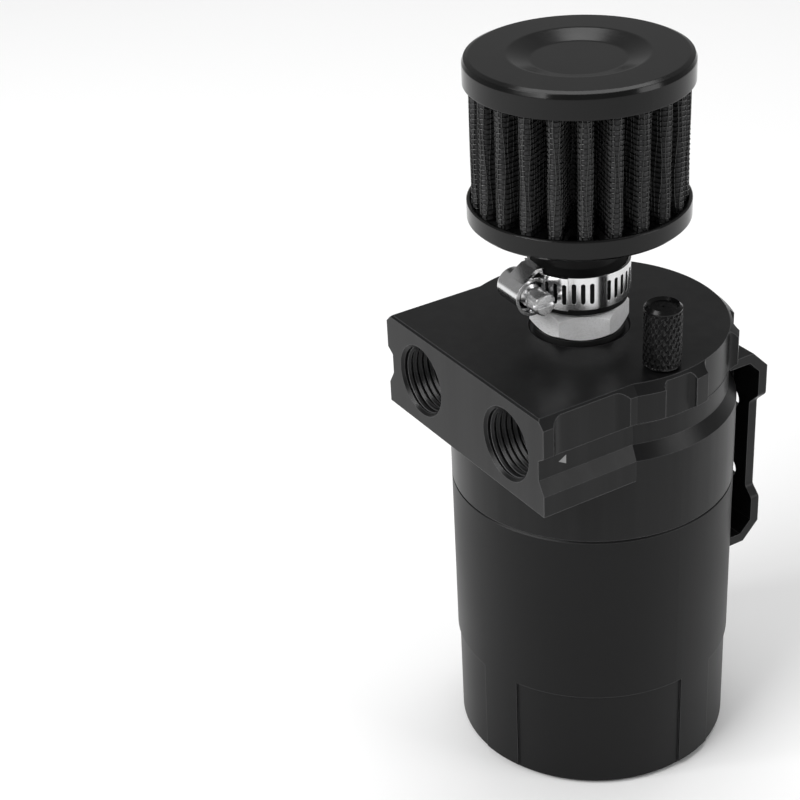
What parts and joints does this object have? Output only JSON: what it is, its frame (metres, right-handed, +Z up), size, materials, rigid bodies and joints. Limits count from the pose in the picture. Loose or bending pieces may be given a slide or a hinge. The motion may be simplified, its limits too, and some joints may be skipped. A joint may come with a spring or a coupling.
{
  "type": "oil catch can",
  "caption": "Round screw-together oil catch can with two front hose ports, a clamped breather filter, a dipstick and a rear bolt-on bracket.",
  "frame": {"origin": "centre of the cup's flat bottom", "axes": "+Z up the can's axis, -Y out of the two hose ports, +Y out of the back of the bracket, +X towards the outlet port"},
  "size_m": [0.068, 0.0741, 0.1784],
  "materials": {
    "black_anodised": "satin black anodised",
    "seal_rubber": "smooth nitrile",
    "bright_plated": "bright zinc plated",
    "boot_rubber": "moulded rubber",
    "filter_black": "satin black powder coat",
    "filter_media": "oiled cotton gauze",
    "black_wire": "coated woven wire",
    "zinc_sheet": "zinc plated sheet",
    "potting_resin": "cast polyurethane",
    "clamp_steel": "bright stainless strip",
    "screw_zinc": "zinc plated",
    "knob_anodised": "satin black anodised, knurled",
    "rod_steel": "ground stainless",
    "plain_aluminium": "plain turned aluminium",
    "wire_wool": "knitted metal mesh",
    "bracket_black": "satin black anodised",
    "black_screw": "black oxide"
  },
  "bodies": {
    "body": {"lid": "black_anodised", "breather_adapter": "bright_plated", "adapter_seal": "seal_rubber", "filter_boot": "boot_rubber", "filter_base_ring": "filter_black", "filter_pleats": "filter_media", "filter_screen": "black_wire", "filter_core": "zinc_sheet", "filter_potting": "potting_resin", "filter_cap": "filter_black", "clamp_band": "clamp_steel", "clamp_housing": "clamp_steel", "baffle_posts": "plain_aluminium", "baffle_plate": "plain_aluminium", "baffle_screws": "screw_zinc", "inlet_tube": "plain_aluminium", "mesh_pad": "wire_wool", "bracket": "bracket_black", "bracket_screws": "black_screw"},
    "cup_seal": {"cup_o_ring": "seal_rubber"},
    "cup": {"cup": "black_anodised"},
    "dipstick_seal": {"dipstick_o_ring": "seal_rubber"},
    "dipstick": {"dipstick_knob": "knob_anodised", "dipstick_rod": "rod_steel"},
    "worm": {"clamp_screw": "screw_zinc"}
  },
  "joints": [
    {"name": "cup_drop", "type": "slide", "parent": "body", "child": "cup_seal", "axis": [0, 0, -1], "range_m": [0, 0.068]},
    {"name": "cup_turn", "type": "hinge", "parent": "cup_seal", "child": "cup", "pos_m": [0, 0, 0.0726], "axis": [0, 0, 1], "range_deg": [0, 2880]},
    {"name": "dipstick_pull", "type": "slide", "parent": "body", "child": "dipstick_seal", "axis": [0, 0, 1], "range_m": [0, 0.012]},
    {"name": "dipstick_turn", "type": "hinge", "parent": "dipstick_seal", "child": "dipstick", "pos_m": [0.027, -0.0008, 0.11245], "axis": [0, 0, 1], "continuous": true},
    {"name": "clamp_screw_turn", "type": "hinge", "parent": "body", "child": "worm", "pos_m": [-0.00051, -0.01829, 0.125], "axis": [0.9994, -0.0349, 0], "continuous": true}
  ]
}
